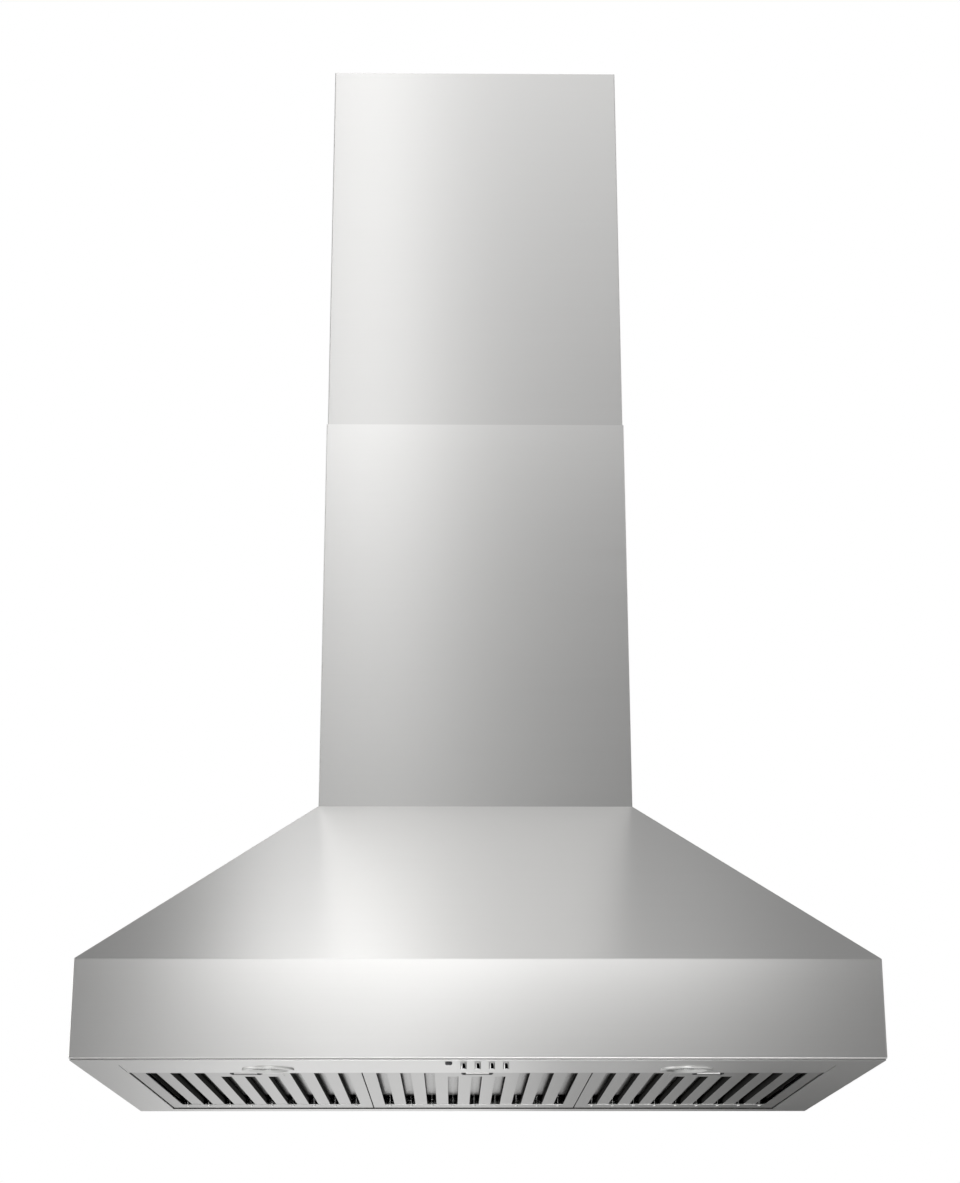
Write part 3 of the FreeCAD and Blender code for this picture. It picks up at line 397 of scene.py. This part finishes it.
def brushed_steel(name, grain, colour, leg_share=None, levels=None, lean=None, shares=None):
    """Brushed sheet.

    With a leg_share it gets painted shade: it turns black in gaps, and its upright faces keep that share
    of their light.
    Between two levels it can be bowed by a lean, and painted reflection can change its brightness by
    shares.
    """
    material, tree, shader = new_material(name, colour, metallic=1)
    shader.inputs["Anisotropic"].default_value = grain_stretch
    shader.inputs["Anisotropic Rotation"].default_value = grain_turn
    tree.links.new(grain_direction(tree), shader.inputs["Tangent"])
    fine = pattern(tree, grain, grain_detail)
    dull = tuple(c * (1 - cloud_share) for c in colour[:3]) + (1,)
    clean = tint(tree, fine, dull, colour)
    # Painted reflection: the colour is scaled by shares from the low level to the high one.
    if shares:
        clean = painted_fade(tree, clean, levels, shares)
    if leg_share is None:
        rough = spread(tree, fine, (sheet_roughness - rough_change, sheet_roughness + rough_change))
        tree.links.new(clean, shader.inputs["Base Color"])
    else:
        shader.inputs["Specular IOR Level"].default_value = 0
        # Painted shade: in gaps and on upright faces the colour goes to the dark gap colour, the metal to
        # none and the roughness up.
        light = gap_light(tree, leg_share)
        painted_shade_mix = add_node(tree, "ShaderNodeMix", data_type="RGBA")
        painted_shade_mix.inputs["A"].default_value = gap_shade_colour
        tree.links.new(clean, painted_shade_mix.inputs["B"])
        tree.links.new(light, painted_shade_mix.inputs["Factor"])
        rough = spread(tree, light, (gap_shade_roughness, sheet_roughness), (0, 1))
        tree.links.new(painted_shade_mix.outputs["Result"], shader.inputs["Base Color"])
        tree.links.new(light, shader.inputs["Metallic"])
    tree.links.new(rough, shader.inputs["Roughness"])
    if lean:
        tree.links.new(crowned_normal(tree, levels, lean), shader.inputs["Normal"])
    return material


def zinc_sheet():
    """Zinc-coated sheet with its large pale crystals."""
    material, tree, shader = new_material("zinc_sheet", zinc_bright, metallic=1)
    crystals = add_node(tree, "ShaderNodeTexVoronoi")
    crystals.inputs["Scale"].default_value = zinc_crystals
    shade = add_node(tree, "ShaderNodeSeparateColor")
    tree.links.new(own_place(tree), crystals.inputs["Vector"])
    tree.links.new(crystals.outputs["Color"], shade.inputs["Color"])
    tree.links.new(tint(tree, shade.outputs["Red"], zinc_dark, zinc_bright), shader.inputs["Base Color"])
    tree.links.new(spread(tree, shade.outputs["Green"], zinc_roughness), shader.inputs["Roughness"])
    return material


def polished_metal(name, colour, roughness, depth):
    """Smooth metal with faint scratches and cloudy polish."""
    material, tree, shader = new_material(name, colour, metallic=1)
    cloud = pattern(tree, (polish_waves,) * 3, polish_detail)
    rough = spread(tree, cloud, tuple(roughness * share for share in polish_shares))
    tree.links.new(rough, shader.inputs["Roughness"])
    bump(tree, shader, cloud, depth)
    return material


def moulded_plastic(name, colour, roughness):
    """Plastic with the fine skin of a mould."""
    material, tree, shader = new_material(name, colour)
    skin = pattern(tree, (plastic_waves,) * 3, plastic_detail)
    rough = spread(tree, skin, (roughness - plastic_change, roughness + plastic_change))
    tree.links.new(rough, shader.inputs["Roughness"])
    bump(tree, shader, skin, plastic_relief)
    return material


def motor_enamel():
    """Black enamel with a little orange peel."""
    material, tree, shader = new_material("motor_enamel", enamel_colour)
    shader.inputs["Coat Weight"].default_value = enamel_coat
    peel = pattern(tree, (enamel_waves,) * 3, enamel_detail)
    tree.links.new(spread(tree, peel, enamel_roughness), shader.inputs["Roughness"])
    bump(tree, shader, peel, enamel_relief)
    return material


def cast_aluminium():
    """Aluminium with the grain of a sand mould."""
    material, tree, shader = new_material("cast_aluminium", cast_colour, metallic=1)
    sand = pattern(tree, (cast_waves,) * 3, cast_detail)
    tree.links.new(spread(tree, sand, cast_roughness), shader.inputs["Roughness"])
    bump(tree, shader, sand, cast_relief)
    return material


def lamp_glass():
    """Clear glass with a little haze."""
    material, tree, shader = new_material("lamp_glass", glass_colour)
    shader.inputs["Transmission Weight"].default_value = 1
    shader.inputs["IOR"].default_value = glass_index
    haze = pattern(tree, (glass_waves,) * 3, glass_detail)
    tree.links.new(spread(tree, haze, glass_roughness), shader.inputs["Roughness"])
    return material


def make_materials():
    """Every material by its finish."""
    shell_foot = frame_box("canopy_shell")[0].z
    skirt = (shell_foot, shell_foot + skirt_height)
    lower = tuple(corner.z for corner in frame_box("lower_duct_cover"))
    upper = tuple(corner.z for corner in frame_box("upper_duct_cover"))
    made = {
        "brushed_stainless": brushed_steel("sheet_canopy", upright_grain, sheet_colour,
                                           canopy_leg_share, skirt, skirt_lean),
        "lower_duct_cover": brushed_steel("sheet_lower_cover", upright_grain, sheet_colour,
                                          levels=lower, lean=lower_cover_lean, shares=lower_cover_painted_shares),
        "upper_duct_cover": brushed_steel("sheet_upper_cover", upright_grain, sheet_colour,
                                          levels=upper, lean=upper_cover_lean),
        "flat_stainless": brushed_steel("sheet_flat", flat_grain, sheet_colour),
        "ledge_stainless": brushed_steel("sheet_ledge", flat_grain, sheet_colour, ledge_leg_share),
        "filter_frame": brushed_steel("filter_frame", flat_grain, filter_colour, frame_leg_share),
        "filter_baffles": brushed_steel("filter_baffles", flat_grain, filter_colour, baffle_leg_share),
        "galvanised_steel": zinc_sheet(),
        "motor_paint": motor_enamel(),
        "lamp_aluminium": cast_aluminium(),
        "lamp_glass": lamp_glass(),
    }
    for name, values in polished_metals.items():
        made[name] = polished_metal(name, *values)
    for name, values in moulded_plastics.items():
        made[name] = moulded_plastic(name, *values)
    return made


def dress_nodes(materials):
    """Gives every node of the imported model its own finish, or else its slot's."""
    for entry in frame["record"]["subparts"]:
        node = entry["node"]
        finish = own_finishes.get(node, entry["material_slot"])
        if node.startswith("filter_") and node.endswith("_frame"):
            finish = "filter_frame"
        if node.endswith("_baffles"):
            finish = "filter_baffles"
        if node.startswith("button_") and not node.endswith("_spring"):
            # The buttons take a darker chrome, painted shade
            finish = "shaded_button_chrome"
        frame["nodes"][node].material_slots[0].material = materials[finish]


# Pieces

def make_mesh(name, corners, faces, material):
    mesh = bpy.data.meshes.new(name)
    mesh.from_pydata(corners, [], faces)
    mesh.materials.append(material)
    piece = bpy.data.objects.new(name, mesh)
    bpy.context.scene.collection.objects.link(piece)
    return piece


def rivet_middles(node):
    """The x of each rivet in a CAD node that holds one row of them, and the radius of their heads."""
    low, high = frame_box(node)
    radius = (high.y - low.y) / 2
    places = sorted(vertex.co.x for vertex in frame["nodes"][node].data.vertices)
    middles = []
    first = places[0]
    for place, after in zip(places, places[1:] + [math.inf]):
        if after - place > radius:
            middles.append((first + place) / 2)
            first = after
    return middles, radius


def rivet_domes(filter_name, material):
    """A closed dome under the flat head of each of a filter's rivets."""
    node = filter_name + "_rivets"
    low, high = frame_box(node)
    middle_y = (low.y + high.y) / 2
    middles, radius = rivet_middles(node)
    corners = []
    faces = []
    for x in middles:
        start = len(corners)
        for ring in range(dome_rings):
            climb = math.pi / 2 * ring / dome_rings
            out = radius * math.cos(climb)
            for side in range(dome_sides):
                turn = math.tau * side / dome_sides
                corners.append((x + out * math.cos(turn), middle_y + out * math.sin(turn),
                                low.z - dome_height * math.sin(climb)))
        tip = len(corners)
        corners.append((x, middle_y, low.z - dome_height))
        faces.append([start + side for side in range(dome_sides)])
        for side in range(dome_sides):
            after = (side + 1) % dome_sides
            for ring in range(dome_rings - 1):
                here = start + ring * dome_sides
                there = here + dome_sides
                faces.append((here + side, there + side, there + after, here + after))
            last = start + (dome_rings - 1) * dome_sides
            faces.append((last + side, tip, last + after))
    piece = make_mesh(filter_name + "_rivet_domes", corners, faces, material)
    piece.data.shade_smooth()
    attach(piece, filter_name)


def button_spring(number):
    """A copy of a button's spring, attached to the button's body."""
    button = "button_" + str(number)
    node = button + "_spring"
    piece = bpy.data.objects.new(node + "_coil", frame["nodes"][node].data.copy())
    piece.matrix_world = frame["nodes"][node].matrix_world
    bpy.context.scene.collection.objects.link(piece)
    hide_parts(node)
    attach(piece, button)
    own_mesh(piece)


# Studio

def seen_directly(tree):
    """1 for what the camera, metal and glass show, and 0 for light that falls on the object."""
    rays = add_node(tree, "ShaderNodeLightPath").outputs
    camera_or_metal = calculate(tree, "MAXIMUM", rays["Is Camera Ray"], rays["Is Glossy Ray"])
    return calculate(tree, "MAXIMUM", camera_or_metal, rays["Is Transmission Ray"])


def make_floor():
    material, tree, shader = new_material("studio_floor", floor_colour)
    shader.inputs["Emission Color"].default_value = white
    shine = calculate(tree, "MULTIPLY", seen_directly(tree), floor_shine)
    rough = spread(tree, pattern(tree, (floor_waves,) * 3, floor_detail), floor_roughness)
    tree.links.new(shine, shader.inputs["Emission Strength"])
    tree.links.new(rough, shader.inputs["Roughness"])
    reach = floor_size / 2
    corners = [(-reach, -reach, floor_level), (reach, -reach, floor_level),
               (reach, reach, floor_level), (-reach, reach, floor_level)]
    make_mesh("studio_floor", corners, [(0, 1, 2, 3)], material)


def board_material(name, colour):
    """A board that shows this colour in reflections, however it is lit."""
    material = bpy.data.materials.new(name)
    material.use_nodes = True
    tree = material.node_tree
    tree.nodes.clear()
    glow = add_node(tree, "ShaderNodeEmission")
    glow.inputs["Color"].default_value = colour
    out = add_node(tree, "ShaderNodeOutputMaterial")
    tree.links.new(glow.outputs["Emission"], out.inputs["Surface"])
    return material, tree, glow


def make_board(name, corners, faces, material):
    """A board that is seen by reflections alone."""
    board = make_mesh(name, corners, faces, material)
    board.visible_camera = False
    board.visible_diffuse = False
    board.visible_shadow = False
    board.visible_transmission = False


def make_cloth():
    """An upright round band of black cloth in front of the hood and on its right."""
    first, last = cloth_angles
    corners = []
    for step in range(cloth_steps + 1):
        angle = math.radians(first + (last - first) * step / cloth_steps)
        foot = Vector((math.sin(angle), -math.cos(angle), 0)) * cloth_reach
        for height in cloth_heights:
            corners.append(foot + Vector((0, 0, height)))
    faces = [(2 * step, 2 * step + 1, 2 * step + 3, 2 * step + 2) for step in range(cloth_steps)]
    make_board("studio_cloth", corners, faces, board_material("studio_cloth", black)[0])


def make_vault():
    """A long round vault of board about the hood, dark in its middle and uneven beyond."""
    material, tree, glow = board_material("studio_vault", white)
    place = along(tree, "X", own_place(tree))
    aside = calculate(tree, "ABSOLUTE", place)
    light = spread(tree, aside, vault_light, vault_change)
    depth = spread(tree, aside, (0, vault_wave_depth), vault_change)
    wave = calculate(tree, "SINE", calculate(tree, "MULTIPLY", place, math.tau / vault_wave))
    uneven = calculate(tree, "ADD", light, calculate(tree, "MULTIPLY", wave, depth))
    tree.links.new(uneven, glow.inputs["Strength"])
    corners = []
    faces = []
    for step in range(vault_steps):
        turn = math.tau * step / vault_steps
        ring_place = rig_middle + Vector((0, math.cos(turn), math.sin(turn))) * vault_reach
        for side in (-1, 1):
            corners.append(ring_place + Vector((side * vault_reach, 0, 0)))
        after = (step + 1) % vault_steps
        faces.append((2 * step, 2 * step + 1, 2 * after + 1, 2 * after))
    make_board("studio_vault", corners, faces, material)


def make_wall_board():
    """An upright board behind the hood whose light changes along x."""
    material, tree, glow = board_material("studio_wall_board", white)
    glow.inputs["Strength"].default_value = wall_board_light
    ramp = add_node(tree, "ShaderNodeValToRGB")
    ramp.color_ramp.interpolation = "EASE"
    while len(ramp.color_ramp.elements) < len(wall_board_shares):
        ramp.color_ramp.elements.new(1)
    for element, (position, share) in zip(ramp.color_ramp.elements, wall_board_shares):
        element.position = position
        element.color = (share, share, share, 1)
    reach = (-wall_board_half, wall_board_half)
    tree.links.new(spread(tree, along(tree, "X", own_place(tree)), (0, 1), reach), ramp.inputs["Fac"])
    tree.links.new(ramp.outputs["Color"], glow.inputs["Color"])
    low, high = wall_board_heights
    corners = [(-wall_board_half, wall_board_y, low), (wall_board_half, wall_board_y, low),
               (wall_board_half, wall_board_y, high), (-wall_board_half, wall_board_y, high)]
    make_board("studio_wall_board", corners, [(0, 1, 2, 3)], material)


def make_world():
    """White where it is seen, and a grey that fills the shadows."""
    world = bpy.data.worlds.new("studio")
    world.use_nodes = True
    bpy.context.scene.world = world
    tree = world.node_tree
    tree.nodes.clear()
    room = add_node(tree, "ShaderNodeBackground")
    room.inputs["Color"].default_value = room_light
    backdrop = add_node(tree, "ShaderNodeBackground")
    backdrop.inputs["Color"].default_value = white
    mix = add_node(tree, "ShaderNodeMixShader")
    out = add_node(tree, "ShaderNodeOutputWorld")
    tree.links.new(seen_directly(tree), mix.inputs["Fac"])
    tree.links.new(room.outputs["Background"], mix.inputs[1])
    tree.links.new(backdrop.outputs["Background"], mix.inputs[2])
    tree.links.new(mix.outputs["Shader"], out.inputs["Surface"])


def area_lamp(name, place, away, width, height, brightness):
    """A lamp that a mirror would show this bright. It stands in the direction away and shines back."""
    lamp = bpy.data.lights.new(name, "AREA")
    lamp.shape = "RECTANGLE"
    lamp.size = width
    lamp.size_y = height
    lamp.energy = brightness * math.pi * width * height
    holder = bpy.data.objects.new(name, lamp)
    holder.location = place
    holder.rotation_euler = away.to_track_quat("Z", "Y").to_euler()
    holder.visible_camera = False
    bpy.context.scene.collection.objects.link(holder)


def soft_box(name, left, right, low, high, brightness):
    """A lamp on the rig, between two edges and two turns."""
    turn = math.radians((low + high) / 2)
    away = Vector((0, -math.cos(turn), math.sin(turn)))
    place = rig_middle + away * rig_reach + Vector(((left + right) / 2, 0, 0))
    height = 2 * rig_reach * math.tan(math.radians(high - low) / 2)
    area_lamp(name, place, away, right - left, height, brightness)


def side_box():
    """The tall lamp far to the left."""
    angle = math.radians(side_box_angle)
    away = Vector((math.sin(angle), -math.cos(angle), 0))
    place = away * side_box_reach + Vector((0, 0, side_box_height))
    width, height = side_box_size
    area_lamp("side_box", place, away, width, height, side_box_brightness)


def make_camera():
    """A camera turned by yaw, then pitch, then roll from looking along y."""
    yaw, pitch, roll = (math.radians(a) for a in (camera_yaw, camera_pitch, camera_roll))
    ahead = Vector((math.sin(yaw) * math.cos(pitch), math.cos(yaw) * math.cos(pitch), math.sin(pitch)))
    level = Vector((math.cos(yaw), -math.sin(yaw), 0))
    rise = level.cross(ahead)
    right = level * math.cos(roll) + rise * math.sin(roll)
    up = rise * math.cos(roll) - level * math.sin(roll)
    data = bpy.data.cameras.new("camera")
    data.sensor_fit = "HORIZONTAL"
    data.sensor_width = sensor_width
    data.lens = focal_share * sensor_width
    data.clip_start = camera_clip
    camera = bpy.data.objects.new("camera", data)
    turn = Matrix((right, up, -ahead)).transposed().to_4x4()
    camera.matrix_world = Matrix.Translation(camera_place) @ turn
    bpy.context.scene.collection.objects.link(camera)
    bpy.context.scene.camera = camera


bpy.context.scene.view_settings.view_transform = "Standard"
make_camera()
make_world()
make_floor()
make_vault()
make_cloth()
make_wall_board()
for name, values in soft_boxes.items():
    soft_box(name, *values)
side_box()
materials = make_materials()
dress_nodes(materials)
for side in filter_sides:
    rivet_domes("filter_" + side, materials["bright_steel"])
for number in range(1, button_count + 1):
    button_spring(number)
